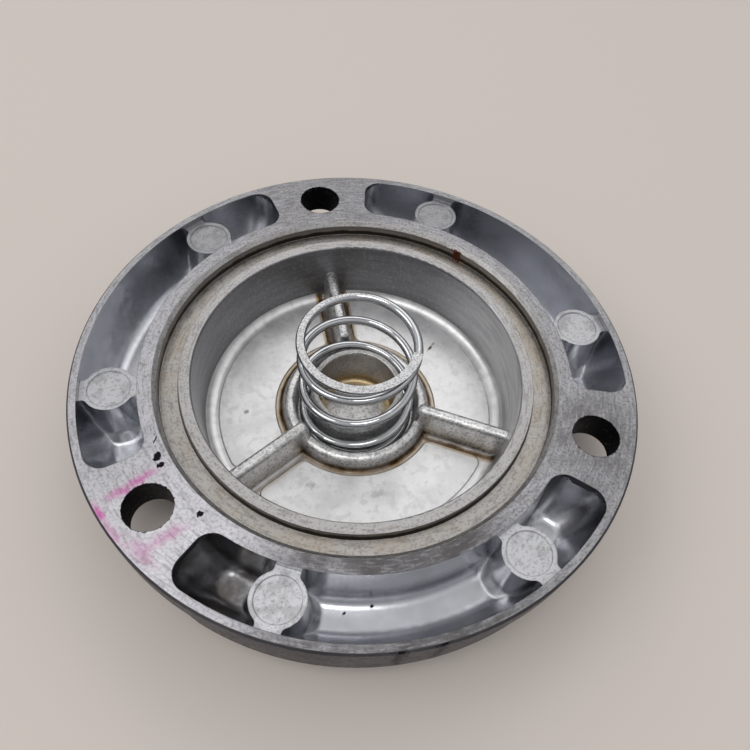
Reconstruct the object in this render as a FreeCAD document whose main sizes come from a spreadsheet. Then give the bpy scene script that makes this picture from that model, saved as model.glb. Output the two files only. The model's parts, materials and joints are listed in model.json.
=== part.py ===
import FreeCAD, Part
import math
import os
import Sketcher

# Oil filter cover: one aluminium casting with a filter bowl, a seal groove, three bolt lands with arc
# pockets between them, and a hub that holds the steel spring which presses on the filter.
# Millimetres. +Z points out of the open side, z = 0 is the machined joint face, the origin lies on the
# axis, and one bolt hole stands on +Y. Depths are counted down from the joint face.

# Angle from one bolt to the next: three equal bolt spaces.
BOLT_STEP = 120

# An edge this near to a wanted place is the wanted edge.
NEAR = 0.01

# Less than this counts as nothing.
TINY = 1e-6

# name, value, what it is
SIZES = [
    ("outer_radius", 41.0, "radius of the joint face"),
    ("flange_rim", 1.3, "joint face outside a pocket"),
    ("pocket_width", 8.1, "pocket from inner to outer edge, at the joint face"),
    ("land_width", 2.0, "joint face between a pocket and the seal groove"),
    ("bolt_margin", 5.75, "bolt centre to the outside of the joint face"),
    ("flange_thickness", 5.0, "metal under a bolt, from joint face to bolt seat"),
    ("flange_edge", 0.3, "broken edge round the joint face"),
    ("flange_round", 1.0, "round at the flange's lower edge"),
    ("bolt_hole_diameter", 6.6, "clearance hole for M6"),
    ("land_bevel", 0.6, "bevel into the seal groove"),
    ("groove_width", 2.65, "seal groove, wall to wall at its floor"),
    ("groove_depth", 2.3, "seal groove floor below the joint face"),
    ("rim_lean", 0.3, "draft of the groove's inner wall"),
    ("rim_width", 1.7, "narrow rim between groove and bowl"),
    ("rim_drop", 1.0, "rim top below the joint face"),
    ("rim_round", 0.35, "round on the rim's inner edge"),
    ("bowl_depth", 11.5, "bowl floor below the joint face"),
    ("bowl_wall", 3.2, "metal of the bowl wall at its foot"),
    ("bowl_lean", 0.55, "draft of the bowl wall"),
    ("bowl_fillet", 1.6, "fillet at the foot of the bowl wall"),
    ("cup_lean", 0.4, "draft of the bowl's outside"),
    ("cup_round", 2.0, "round at the outside foot of the bowl"),
    ("panel_height", 0.18, "raised panels on the bowl floor"),
    ("panel_slope", 45.0, "lean of a panel's edge, in degrees"),
    ("panel_corner", 1.5, "corner round of a panel"),
    ("panel_gap", 0.4, "flat floor left round a panel"),
    ("bead_width", 2.275, "hub's bead from the spring seat's wall to its outer foot"),
    ("bead_height", 2.1, "bead crest above the bowl floor"),
    ("bead_slope", 0.35, "lean of the bead's outer side"),
    ("bead_crown", 1.0, "outer round of the bead"),
    ("bead_lip", 0.5, "inner round of the bead"),
    ("bead_foot", 0.5, "fillet at the bead's outer foot"),
    ("seat_step", 1.3, "spring seat below the bowl floor"),
    ("seat_floor", 2.6, "metal below the spring seat"),
    ("moat_fillet", 0.35, "fillets beside the spring seat"),
    ("moat_lean", 0.15, "draft of the two walls beside the spring"),
    ("spring_clearance", 0.5, "gap from spring to the walls beside it"),
    ("tube_wall", 0.9, "wall of the hub's tube at its top"),
    ("tube_height", 6.9, "tube top above the spring seat"),
    ("tube_edge", 0.25, "rounds on the tube's top"),
    ("bore_fillet", 0.8, "fillet at the foot of the blind bore"),
    ("bore_lean", 0.15, "draft of the blind bore"),
    ("wire_diameter", 1.35, "spring wire"),
    ("coil_radius", 8.35, "axis to wire centre"),
    ("spring_length", 18.4, "free length over the ground ends"),
    ("active_pitch", 6.25, "rise of an open turn"),
    ("closed_pitch", 0.72, "rise per turn of a ground end coil"),
    ("run_out_pitch", 3.6, "rise per turn between end coil and open coil"),
    ("ground_depth", 0.14, "centre of the wire's tip inside the ground end"),
    ("end_coil_turns", 0.75, "closed part of an end coil, in turns"),
    ("run_out_turns", 0.25, "turns between end coil and open coil"),
    ("top_tip_angle", -25.0, "direction of the upper wire tip, from +X, in degrees"),
    ("pocket_end_angle", 12.75, "bolt centre to pocket end, at the joint face"),
    ("pocket_corner", 2.6, "corner round of a pocket seen from above"),
    ("pocket_end_flat", 0.5, "straight part across the end of a pocket floor"),
    ("pocket_sill", 3.0, "depth of the steep wall at a pocket end"),
    ("pocket_depth", 8.2, "pocket floor below the joint face"),
    ("pocket_ramp_angle", 5.6, "run of the ramp below a pocket end"),
    ("pocket_draft", 0.3, "lean of the pocket walls down to the sill"),
    ("pocket_inner_lean", 0.4, "lean of the inner wall below the sill"),
    ("pocket_outer_lean", 2.4, "lean of the outer wall below the sill"),
    ("pocket_fillet_corner", 0.5, "corner that the fillet leaves on a pocket floor"),
    ("shell_wall", 2.8, "metal below a pocket floor"),
    ("shell_edge", 0.15, "step from the flange's rim to a pocket's outside"),
    ("shell_lean", 0.3, "draft of a pocket's outside"),
    ("shell_end_angle", 11.3, "bolt centre to the end of a pocket's outside"),
    ("shell_ramp_angle", 5.6, "run of a pocket's outer end wall"),
    ("shell_overlap", 1.0, "how far a pocket's outside runs into the bowl's"),
    ("shell_round", 2.0, "round at the outside of a pocket"),
    ("pillar_angle", 33.3, "bolt centre to pillar centre"),
    ("pillar_gap", 0.45, "pillar's side to the pocket's edge, at its top"),
    ("pillar_drop", 1.0, "pillar top below the joint face"),
    ("pillar_draft", 4.0, "draft of a pillar's sides, in degrees"),
    ("pillar_flare", 1.6, "height of the flare at a pillar's foot"),
    ("pillar_flare_angle", 45.0, "lean of the flare, in degrees"),
    ("pillar_ear", 3.4, "width of the ears that tie a pillar to the walls"),
    ("pillar_neck", 0.8, "fillet between pillar and ear"),
    ("pillar_bite", 0.6, "how far an ear runs into the walls"),
    ("pin_mark_border", 0.6, "rim of a pillar round its pin mark"),
    ("pin_mark_depth", 0.2, "depth of the pin mark"),
    ("rib_height", 5.2, "rib crest above the bowl floor"),
    ("rib_crest_flat", 0.2, "flat strip along a rib's crest"),
    ("rib_crown", 0.9, "round along a rib's crest"),
    ("rib_lean", 0.09, "lean of a rib's side, per millimetre of height"),
    ("rib_foot_fillet", 0.5, "fillet along a rib's foot"),
    ("rib_inset", 0.475, "rib's inner end behind the spring seat's wall"),
    ("rib_end_round", 0.75, "round of the rib's inner end"),
    ("rib_bite", 0.8, "how far a rib runs into floor and wall"),
]

# name, formula, what it is
FOLLOWING = [
    ("bolt_circle_radius", "outer_radius - bolt_margin", "axis to bolt centre"),
    ("pocket_outer_radius", "outer_radius - flange_rim", "pocket's outer edge"),
    ("pocket_inner_radius", "pocket_outer_radius - pocket_width", "pocket's inner edge"),
    ("land_radius", "pocket_inner_radius - land_width", "inner edge of the joint face"),
    ("groove_outer", "land_radius - land_bevel", "outer wall of the seal groove"),
    ("rim_foot", "groove_outer - groove_width", "rim's outer side at the groove floor"),
    ("rim_outer", "rim_foot - rim_lean", "rim's outer edge"),
    ("rim_inner", "rim_outer - rim_width", "rim's inner edge"),
    ("bowl_foot", "rim_inner - bowl_lean", "bowl wall at its foot"),
    ("cup_radius", "bowl_foot + bowl_wall", "outside of the bowl wall at its foot"),
    ("moat_outer", "coil_radius + wire_diameter / 2 + spring_clearance", "spring seat's outer wall"),
    ("moat_inner", "coil_radius - wire_diameter / 2 - spring_clearance", "spring seat's inner wall"),
    ("moat_depth", "bowl_depth + seat_step", "spring seat below the joint face"),
    ("cover_depth", "moat_depth + seat_floor", "joint face to the outside bottom"),
    ("bead_radius", "moat_outer + bead_width", "outer foot of the hub's bead"),
    ("tube_top", "moat_depth - tube_height", "tube top below the joint face"),
    ("pocket_sill_inner", "pocket_inner_radius + pocket_draft", "pocket's inner wall at the sill"),
    ("pocket_sill_outer", "pocket_outer_radius - pocket_draft", "pocket's outer wall at the sill"),
    ("pocket_floor_inner", "pocket_sill_inner + pocket_inner_lean", "pocket's inner wall at its floor"),
    ("pocket_floor_outer", "pocket_sill_outer - pocket_outer_lean", "pocket's outer wall at its floor"),
    ("pocket_floor_corner", "(pocket_floor_outer - pocket_floor_inner - pocket_end_flat) / 2",
     "corner round of a pocket at its floor"),
    ("pocket_fillet", "pocket_floor_corner - pocket_fillet_corner", "fillet round a pocket floor"),
    ("pillar_pitch_radius", "pocket_inner_radius + pocket_width / 2", "axis to pillar centre"),
    ("pillar_radius", "pocket_width / 2 - pillar_gap", "pillar at its top"),
    ("pin_mark_radius", "pillar_radius - pin_mark_border", "round pin mark on a pillar"),
    ("rib_start", "moat_outer + rib_inset", "axis to the rib's inner end"),
    ("rib_top", "bowl_depth - rib_height", "rib crest below the joint face"),
    ("rib_slope", "sqrt(1 + rib_lean * rib_lean)", "length of a rib's side per unit of height"),
    ("rib_shoulder", "rib_top + rib_crown - rib_crown * rib_lean / rib_slope", "foot of the crest's round"),
    ("rib_shoulder_width", "rib_crest_flat / 2 + rib_crown / rib_slope", "half the rib there"),
    ("rib_side", "bowl_depth - rib_foot_fillet - rib_shoulder", "height of a rib's flat side"),
    ("rib_foot_reach", "rib_shoulder_width + rib_side * rib_lean + rib_foot_fillet * rib_slope",
     "half the rib with its foot fillets"),
]


class Size:
    """A length with its value and the sheet expression that gives it."""

    def __init__(self, value, text):
        self.value = value
        self.text = text

    def join(self, other, sign, value):
        return Size(value, "(%s %s %s)" % (self.text, sign, term(other).text))

    def __add__(self, other):
        return self.join(other, "+", self.value + term(other).value)

    def __sub__(self, other):
        return self.join(other, "-", self.value - term(other).value)

    def __mul__(self, other):
        return self.join(other, "*", self.value * term(other).value)

    def __truediv__(self, other):
        return self.join(other, "/", self.value / term(other).value)

    def __neg__(self):
        return Size(-self.value, "(0 - %s)" % self.text)

    def root(self):
        return Size(math.sqrt(self.value), "sqrt(%s)" % self.text)


def term(value):
    """A plain number as a Size, or the Size itself."""
    if isinstance(value, Size):
        return value
    return Size(float(value), "%.9g" % value)


class Sheet:
    """The spreadsheet of driving sizes and of those that follow from them, read as Sheet.name."""

    def __init__(self, doc, driving, following):
        cells = doc.addObject("Spreadsheet::Sheet", "sizes")
        rows = [(name, "%.9g" % value, note) for name, value, note in driving]
        rows += [(name, "=" + formula, note) for name, formula, note in following]
        for number, (name, content, note) in enumerate(rows, start=1):
            cells.set("A%d" % number, note)
            cells.set("B%d" % number, content)
            cells.setAlias("B%d" % number, name)
        doc.recompute()
        for name, content, note in rows:
            setattr(self, name, Size(float(cells.get(name)), "sizes." + name))


def bind(thing, target, size):
    """Ties a property to its expression."""
    thing.setExpression(target, term(size).text)


def origin_plane(body, role):
    """One of the body's own origin features, found by its role."""
    return next(item for item in body.Origin.OriginFeatures if item.Role == role)


def new_sketch(body, name, role="XY_Plane", height=None, turn=None):
    """A sketch on an origin plane, moved along its normal or turned about Z."""
    sketch = body.newObject("Sketcher::SketchObject", name)
    sketch.AttachmentSupport = [(origin_plane(body, role), "")]
    sketch.MapMode = "FlatFace"
    if height is not None:
        bind(sketch, "AttachmentOffset.Base.z", height)
    if turn is not None:
        upright = FreeCAD.Vector(0, 0, 1) if role == "XY_Plane" else FreeCAD.Vector(0, 1, 0)
        sketch.AttachmentOffset = FreeCAD.Placement(
            FreeCAD.Vector(), FreeCAD.Rotation(upright, turn.value)
        )
        bind(sketch, "AttachmentOffset.Rotation.Angle", turn)
    return sketch


def tie(sketch, rules):
    """Adds constraints; a rule is (name, Size or None, constraint)."""
    first = sketch.ConstraintCount
    sketch.addConstraint([rule[2] for rule in rules])
    for index, (name, size, rule) in enumerate(rules):
        if size is not None:
            sketch.renameConstraint(first + index, name)
            bind(sketch, "Constraints." + name, size)


def pin_down(name, size, kind, geometry, end):
    """The rule that holds one coordinate of a point at a Size from the origin."""
    if abs(size.value) < TINY:
        axis = -2 if kind == "DistanceX" else -1
        return (name, None, Sketcher.Constraint("PointOnObject", geometry, end, axis))
    if size.value > 0:
        return (name, size, Sketcher.Constraint(kind, -1, 1, geometry, end, size.value))
    return (name, -size, Sketcher.Constraint(kind, geometry, end, -1, 1, -size.value))


def arc_middle(start, end, radius, side):
    """The halfway point of an arc from start to end whose centre lies left (1) or right (-1)."""
    chord = end - start
    across = FreeCAD.Vector(-chord.y, chord.x, 0).normalize()
    half = chord.Length / 2
    away = math.sqrt(max(radius * radius - half * half, 0.0))
    return start + chord * 0.5 + across * side * (away - radius)


def outline(sketch, stops):
    """A closed outline: a stop is (x, y), or (x, y, radius, side) where an arc leads to the next stop."""
    places = [FreeCAD.Vector(term(stop[0]).value, term(stop[1]).value, 0) for stop in stops]
    rules = []
    starts = []
    ends = []
    for index, stop in enumerate(stops):
        start = places[index]
        end = places[(index + 1) % len(stops)]
        if len(stop) == 2:
            sketch.addGeometry(Part.LineSegment(start, end), False)
            starts.append(1)
            ends.append(2)
            continue
        radius = term(stop[2])
        middle = arc_middle(start, end, radius.value, stop[3])
        sketch.addGeometry(Part.Arc(start, middle, end), False)
        forward = (sketch.getPoint(index, 1) - start).Length < (sketch.getPoint(index, 1) - end).Length
        starts.append(1 if forward else 2)
        ends.append(2 if forward else 1)
        rules.append(("bend%d" % index, radius, Sketcher.Constraint("Radius", index, radius.value)))
    for index, stop in enumerate(stops):
        follower = (index + 1) % len(stops)
        joint = Sketcher.Constraint("Coincident", index, ends[index], follower, starts[follower])
        rules.append(("joint%d" % index, None, joint))
        rules.append(pin_down("across%d" % index, term(stop[0]), "DistanceX", index, starts[index]))
        rules.append(pin_down("up%d" % index, term(stop[1]), "DistanceY", index, starts[index]))
    tie(sketch, rules)


def sector(sketch, inner, outer, half_angle, corner, beside=None):
    """An arc-shaped field round the origin, centred on -Y, with rounded corners.

    Its ends lie on the two rays at half_angle, or parallel to them at the distance beside.
    """
    clear = 0.0 if beside is None else beside.value
    turn_outer = math.asin((clear + corner.value) / (outer.value - corner.value))
    turn_inner = math.asin((clear + corner.value) / (inner.value + corner.value))

    def spot(radius, angle):
        return FreeCAD.Vector(radius * math.sin(angle), -radius * math.cos(angle), 0)

    def corner_arc(distance, sign, offset, radius_on_arc):
        edge_angle = sign * math.radians(half_angle.value)
        centre = spot(distance, edge_angle - sign * offset)
        on_arc = spot(radius_on_arc, edge_angle - sign * offset)
        inward = FreeCAD.Vector(math.cos(edge_angle), math.sin(edge_angle), 0) * -sign
        on_line = spot(distance * math.cos(offset), edge_angle) + inward * clear
        middle = centre + ((on_arc - centre) + (on_line - centre)).normalize() * corner.value
        return on_arc, middle, on_line

    ways = {}
    for sign in (-1, 1):
        ways["outer", sign] = corner_arc(outer.value - corner.value, sign, turn_outer, outer.value)
        ways["inner", sign] = corner_arc(inner.value + corner.value, sign, turn_inner, inner.value)
    parts = [
        Part.Arc(ways["outer", -1][0], spot(outer.value, 0), ways["outer", 1][0]),
        Part.Arc(*ways["outer", 1]),
        Part.LineSegment(ways["outer", 1][2], ways["inner", 1][2]),
        Part.Arc(*reversed(ways["inner", 1])),
        Part.Arc(ways["inner", 1][0], spot(inner.value, 0), ways["inner", -1][0]),
        Part.Arc(*ways["inner", -1]),
        Part.LineSegment(ways["inner", -1][2], ways["outer", -1][2]),
        Part.Arc(*reversed(ways["outer", -1])),
    ]
    corners = (1, 3, 5, 7)
    targets = [ways["outer", -1][0], ways["outer", 1][0], ways["outer", 1][2], ways["inner", 1][2],
               ways["inner", 1][0], ways["inner", -1][0], ways["inner", -1][2], ways["outer", -1][2]]
    sketch.addGeometry(parts, False)
    starts = []
    for index, target in enumerate(targets):
        near_first = (sketch.getPoint(index, 1) - target).Length < TINY
        starts.append(1 if near_first else 2)
    rules = [
        ("outer_centre", None, Sketcher.Constraint("Coincident", 0, 3, -1, 1)),
        ("inner_centre", None, Sketcher.Constraint("Coincident", 4, 3, -1, 1)),
        ("outer_radius", outer, Sketcher.Constraint("Radius", 0, outer.value)),
        ("inner_radius", inner, Sketcher.Constraint("Radius", 4, inner.value)),
    ]
    for index in range(8):
        follower = (index + 1) % 8
        meet = Sketcher.Constraint("Tangent", index, 3 - starts[index], follower, starts[follower])
        rules.append(("meet%d" % index, None, meet))
    for index in corners:
        rules.append(("corner%d" % index, corner, Sketcher.Constraint("Radius", index, corner.value)))
    right_way = half_angle + 90
    for name, index in (("right_ray", 2), ("left_ray", 6)):
        if beside is None:
            rules.append((name, None, Sketcher.Constraint("PointOnObject", -1, 1, index)))
        else:
            rules.append((name, beside, Sketcher.Constraint("Distance", -1, 1, index, clear)))
    for name, index, way in (("right_way", 2, right_way), ("left_way", 6, -right_way)):
        rules.append((name, way, Sketcher.Constraint("Angle", index, math.radians(way.value))))
    tie(sketch, rules)


def feature(body, kind, name, **values):
    """A PartDesign feature with its properties; a Size is tied to the sheet."""
    made = body.newObject("PartDesign::" + kind, name)
    for key, value in values.items():
        if isinstance(value, Size):
            bind(made, key, value)
        else:
            setattr(made, key, value)
    doc.recompute()
    return made


def three_times(body, name, originals=()):
    """Repeats features, or without any the whole body, at the three bolt positions."""
    pattern = body.newObject("PartDesign::PolarPattern", name)
    if originals:
        pattern.Originals = originals
    else:
        pattern.TransformMode = "Whole shape"
    pattern.Axis = (origin_plane(body, "Z_Axis"), [""])
    pattern.Angle = 360.0
    pattern.Occurrences = 3
    body.Tip = pattern
    doc.recompute()


def round_off(body, name, radius, wanted):
    """Rounds the edges of the tip for which wanted(edge) is true."""
    tip = body.Tip
    names = ["Edge%d" % number for number, edge in enumerate(tip.Shape.Edges, start=1) if wanted(edge)]
    made = body.newObject("PartDesign::Fillet", name)
    made.Base = (tip, names)
    bind(made, "Radius", radius)
    doc.recompute()
    return made


def at_depth(edge, depth, low, high):
    """True for an edge that lies at a depth, between two distances from the axis."""
    points = edge.discretize(5)
    level = all(abs(point.z + depth.value) < NEAR for point in points)
    return level and all(low.value < math.hypot(point.x, point.y) < high.value for point in points)


def revolved_casting(body):
    """Flange, bowl, seal groove, bead, spring seat and tube: everything round the axis."""
    bead_crest = size.bowl_depth - size.bead_height
    bead_side = size.bead_radius - size.bead_slope
    tube_outer = size.moat_inner - size.moat_lean
    tube_inner = tube_outer - size.tube_wall
    bore_foot = tube_inner - size.bore_lean
    stops = [
        (0, -size.moat_depth),
        (bore_foot - size.bore_fillet, -size.moat_depth, size.bore_fillet, 1),
        (bore_foot, size.bore_fillet - size.moat_depth),
        (tube_inner, -size.tube_top - size.tube_edge, size.tube_edge, -1),
        (tube_inner + size.tube_edge, -size.tube_top),
        (tube_outer - size.tube_edge, -size.tube_top, size.tube_edge, -1),
        (tube_outer, -size.tube_top - size.tube_edge),
        (size.moat_inner, size.moat_fillet - size.moat_depth, size.moat_fillet, 1),
        (size.moat_inner + size.moat_fillet, -size.moat_depth),
        (size.moat_outer - size.moat_fillet, -size.moat_depth, size.moat_fillet, 1),
        (size.moat_outer, size.moat_fillet - size.moat_depth),
        (size.moat_outer + size.moat_lean, -bead_crest - size.bead_lip, size.bead_lip, -1),
        (size.moat_outer + size.moat_lean + size.bead_lip, -bead_crest),
        (bead_side - size.bead_crown, -bead_crest, size.bead_crown, -1),
        (bead_side, -bead_crest - size.bead_crown),
        (size.bead_radius, size.bead_foot - size.bowl_depth, size.bead_foot, 1),
        (size.bead_radius + size.bead_foot, -size.bowl_depth),
        (size.bowl_foot - size.bowl_fillet, -size.bowl_depth, size.bowl_fillet, 1),
        (size.bowl_foot, size.bowl_fillet - size.bowl_depth),
        (size.rim_inner, -size.rim_drop - size.rim_round, size.rim_round, -1),
        (size.rim_inner + size.rim_round, -size.rim_drop),
        (size.rim_outer, -size.rim_drop),
        (size.rim_foot, -size.groove_depth),
        (size.groove_outer, -size.groove_depth),
        (size.groove_outer, -size.land_bevel),
        (size.land_radius, 0),
        (size.outer_radius - size.flange_edge, 0),
        (size.outer_radius, -size.flange_edge),
        (size.outer_radius, size.flange_round - size.flange_thickness, size.flange_round, -1),
        (size.outer_radius - size.flange_round, -size.flange_thickness),
        (size.cup_radius + size.cup_lean, -size.flange_thickness),
        (size.cup_radius, size.cup_round - size.cover_depth, size.cup_round, -1),
        (size.cup_radius - size.cup_round, -size.cover_depth),
        (0, -size.cover_depth),
    ]
    sketch = new_sketch(body, "casting_section", "XZ_Plane")
    outline(sketch, stops)
    turned = feature(body, "Revolution", "casting", Profile=sketch, ReferenceAxis=(sketch, ["V_Axis"]))
    turned.Angle = 360.0
    sketch.Visibility = False
    doc.recompute()


def pocket_shells(body):
    """The outside of the three pockets, below the flange between the bolt seats."""
    depth = size.pocket_depth + size.shell_wall
    inner = size.cup_radius - size.shell_overlap
    outer = size.outer_radius - size.shell_edge
    half = term(BOLT_STEP / 2) - size.shell_end_angle
    root = new_sketch(body, "shell_root", height=size.flange_round - size.flange_thickness)
    sector(root, inner, outer, half, size.pocket_corner)
    foot = new_sketch(body, "shell_foot", height=-depth)
    sector(foot, inner, outer - size.shell_lean, half - size.shell_ramp_angle, size.pocket_corner)
    shell = feature(body, "AdditiveLoft", "pocket_shell", Profile=root, Sections=[foot], Ruled=True)
    three_times(body, "pocket_shells", [shell])
    round_off(body, "shell_rounds", size.shell_round,
              lambda edge: at_depth(edge, depth, size.cup_radius + size.shell_overlap, size.outer_radius))


def bolt_holes(body):
    """Three clearance holes through the flange."""
    spot = new_sketch(body, "bolt_spot")
    ring(spot, size.bolt_hole_diameter / 2, size.bolt_circle_radius)
    hole = feature(body, "Pocket", "bolt_hole", Profile=spot, Length=size.cover_depth)
    three_times(body, "bolt_holes", [hole])


def pocket_form(body):
    """The hollow of a pocket: steep ends with a ramp below, a rounded floor and two pillars left in it."""
    half = term(BOLT_STEP / 2) - size.pocket_end_angle
    mouth = new_sketch(body, "pocket_mouth")
    sector(mouth, size.pocket_inner_radius, size.pocket_outer_radius, half, size.pocket_corner)
    sill = new_sketch(body, "pocket_sill_line", height=-size.pocket_sill)
    sector(sill, size.pocket_sill_inner, size.pocket_sill_outer, half, size.pocket_corner)
    floor = new_sketch(body, "pocket_floor_line", height=-size.pocket_depth)
    sector(floor, size.pocket_floor_inner, size.pocket_floor_outer, half - size.pocket_ramp_angle,
           size.pocket_floor_corner)
    feature(body, "AdditiveLoft", "pocket", Profile=mouth, Sections=[sill, floor], Ruled=False)
    round_off(body, "pocket_floor_round", size.pocket_fillet,
              lambda edge: at_depth(edge, size.pocket_depth, size.land_radius, size.outer_radius))
    turn = term(BOLT_STEP / 2) - size.pillar_angle
    top = new_sketch(body, "pillar_top", height=-size.pillar_drop, turn=turn)
    pillar_outline(top)
    pillar = feature(body, "Pocket", "pillar", Profile=top, Length=size.pocket_depth,
                     TaperAngle=size.pillar_draft)
    flare = new_sketch(body, "pillar_flare_line", height=size.pillar_flare - size.pocket_depth, turn=turn)
    ring(flare, size.pillar_radius, -size.pillar_pitch_radius)
    foot = feature(body, "Pocket", "pillar_foot", Profile=flare, Length=size.pocket_depth,
                   TaperAngle=size.pillar_flare_angle)
    mark = new_sketch(body, "pin_mark_line", height=-size.pillar_drop, turn=turn)
    ring(mark, size.pin_mark_radius, -size.pillar_pitch_radius)
    pin_mark = feature(body, "Pad", "pin_mark", Profile=mark, Length=size.pin_mark_depth, Reversed=True)
    twin = body.newObject("PartDesign::Mirrored", "second_pillar")
    twin.Originals = [pillar, foot, pin_mark]
    twin.MirrorPlane = (origin_plane(body, "YZ_Plane"), [""])
    body.Tip = twin
    doc.recompute()
    three_times(body, "pockets")


def ring(sketch, radius, along=None):
    """A circle round the origin, or round a point of the sketch's vertical axis."""
    rules = [("radius", radius, Sketcher.Constraint("Radius", 0, radius.value))]
    if along is None:
        middle = FreeCAD.Vector()
        rules.append(("middle", None, Sketcher.Constraint("Coincident", 0, 3, -1, 1)))
    else:
        middle = FreeCAD.Vector(0, along.value, 0)
        rules.append(("middle", None, Sketcher.Constraint("PointOnObject", 0, 3, -2)))
        rules.append(pin_down("along", along, "DistanceY", 0, 3))
    sketch.addGeometry(Part.Circle(middle, FreeCAD.Vector(0, 0, 1), radius.value))
    tie(sketch, rules)


def pillar_outline(sketch):
    """A round pillar on -Y with an ear to each wall and a fillet at each neck."""
    side = size.pillar_ear / 2
    reach = size.pillar_radius + size.pillar_neck
    across = side + size.pillar_neck
    along = (reach * reach - across * across).root()
    share = size.pillar_radius / reach
    inner = -size.pocket_inner_radius + size.pillar_bite
    outer = -size.pocket_outer_radius - size.pillar_bite
    centre = -size.pillar_pitch_radius
    necks = (centre + along, centre + along * share, centre - along * share, centre - along)
    outline(sketch, [
        (-side, inner),
        (side, inner),
        (side, necks[0], size.pillar_neck, 1),
        (across * share, necks[1], size.pillar_radius, -1),
        (across * share, necks[2], size.pillar_neck, 1),
        (side, necks[3]),
        (side, outer),
        (-side, outer),
        (-side, necks[3], size.pillar_neck, 1),
        (-(across * share), necks[2], size.pillar_radius, -1),
        (-(across * share), necks[1], size.pillar_neck, 1),
        (-side, necks[0]),
    ])


def rib_form(body):
    """A tall narrow rib from the hub's bead to the bowl wall, below each bolt."""
    section = new_sketch(body, "rib_section", "XZ_Plane", height=-size.rib_start)
    crest = size.rib_crest_flat / 2
    wide = size.rib_foot_reach
    base = -size.bowl_depth - size.rib_bite
    foot_run = size.rib_foot_fillet / size.rib_slope
    foot = wide - foot_run
    foot_level = size.rib_foot_fillet - size.bowl_depth - foot_run * size.rib_lean
    outline(section, [
        (-wide, base),
        (wide, base),
        (wide, -size.bowl_depth, size.rib_foot_fillet, -1),
        (foot, foot_level),
        (size.rib_shoulder_width, -size.rib_shoulder, size.rib_crown, 1),
        (crest, -size.rib_top),
        (-crest, -size.rib_top, size.rib_crown, 1),
        (-size.rib_shoulder_width, -size.rib_shoulder),
        (-foot, foot_level, size.rib_foot_fillet, -1),
        (-wide, -size.bowl_depth),
    ])
    length = size.rim_inner + size.rib_bite - size.rib_start
    feature(body, "Pad", "rib", Profile=section, Length=length, Reversed=True)
    round_off(body, "rib_end", size.rib_end_round, rib_end_edge)
    three_times(body, "ribs")


def rib_end_edge(edge):
    """True for the edges round a rib's inner end above its foot."""
    box = edge.BoundBox
    at_end = abs(box.YMin - size.rib_start.value) < NEAR and abs(box.YMax - size.rib_start.value) < NEAR
    return at_end and box.ZMin > NEAR - size.bowl_depth.value


def floor_panels(body):
    """Three low raised panels on the bowl floor, between the ribs."""
    inner = size.bead_radius + size.bead_foot + size.panel_gap
    outer = size.bowl_foot - size.bowl_fillet - size.panel_gap
    sketch = new_sketch(body, "panel_line", height=-size.bowl_depth)
    sector(sketch, inner, outer, term(BOLT_STEP / 2), size.panel_corner, size.rib_foot_reach + size.panel_gap)
    panel = feature(body, "Pad", "floor_panel", Profile=sketch, Length=size.panel_height,
                    TaperAngle=-size.panel_slope)
    three_times(body, "floor_panels", [panel])


def join(body, name, kind, tool):
    """Fuses or cuts another body."""
    step = body.newObject("PartDesign::Boolean", name)
    step.Type = kind
    step.setObjects([tool])
    body.Tip = step
    doc.recompute()


def coil(body, name, start_height, start_angle, turns, pitch):
    """One run of the wire at a constant pitch, started at a height and direction."""
    section = new_sketch(body, name + "_section", "XZ_Plane", turn=start_angle)
    wire = size.wire_diameter / 2
    section.addGeometry(Part.Circle(
        FreeCAD.Vector(size.coil_radius.value, start_height.value, 0), FreeCAD.Vector(0, 0, 1), wire.value))
    tie(section, [
        ("radius", wire, Sketcher.Constraint("Radius", 0, wire.value)),
        pin_down("across", size.coil_radius, "DistanceX", 0, 3),
        pin_down("up", start_height, "DistanceY", 0, 3),
    ])
    run = body.newObject("PartDesign::AdditiveHelix", name)
    run.Profile = section
    run.ReferenceAxis = (section, ["V_Axis"])
    run.Mode = "pitch-turns-angle"
    bind(run, "Pitch", pitch)
    bind(run, "Turns", turns)
    section.Visibility = False
    doc.recompute()
    return start_height + pitch * turns, start_angle + turns * 360


def wire_spring(body):
    """Closed and ground compression spring, wound right-handed from the seat up."""
    rest = (size.closed_pitch * size.end_coil_turns + size.run_out_pitch * size.run_out_turns) * 2
    active = (size.spring_length - size.ground_depth * 2 - rest) / size.active_pitch
    turns = active + size.end_coil_turns * 2 + size.run_out_turns * 2
    angle = size.top_tip_angle - turns * 360
    height = size.ground_depth - size.moat_depth
    runs = [
        ("lower_end", size.end_coil_turns, size.closed_pitch),
        ("lower_run_out", size.run_out_turns, size.run_out_pitch),
        ("open_coils", active, size.active_pitch),
        ("upper_run_out", size.run_out_turns, size.run_out_pitch),
        ("upper_end", size.end_coil_turns, size.closed_pitch),
    ]
    for name, count, pitch in runs:
        height, angle = coil(body, name, height, angle, count, pitch)
    stone = size.coil_radius + size.wire_diameter
    for name, level, below in (("lower_ground_face", -size.moat_depth, False),
                               ("upper_ground_face", size.spring_length - size.moat_depth, True)):
        face = new_sketch(body, name + "_line", height=level)
        ring(face, stone)
        feature(body, "Pocket", name, Profile=face, Length=size.wire_diameter, Reversed=below)


def check(parts):
    """Stops before anything is written if a feature failed or a shape is empty or broken."""
    for item in doc.Objects:
        if "Invalid" in item.State or "Error" in item.State:
            raise RuntimeError("%s failed: %s" % (item.Label, item.State))
    for part in parts:
        if part.Shape.isNull() or not part.Shape.isValid() or len(part.Shape.Solids) != 1:
            raise RuntimeError("%s has no sound single solid" % part.Label)


doc = FreeCAD.newDocument("oil_filter_cover")
size = Sheet(doc, SIZES, FOLLOWING)

ribs = doc.addObject("PartDesign::Body", "rib_form")
rib_form(ribs)
pockets = doc.addObject("PartDesign::Body", "pocket_form")
pocket_form(pockets)

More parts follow.
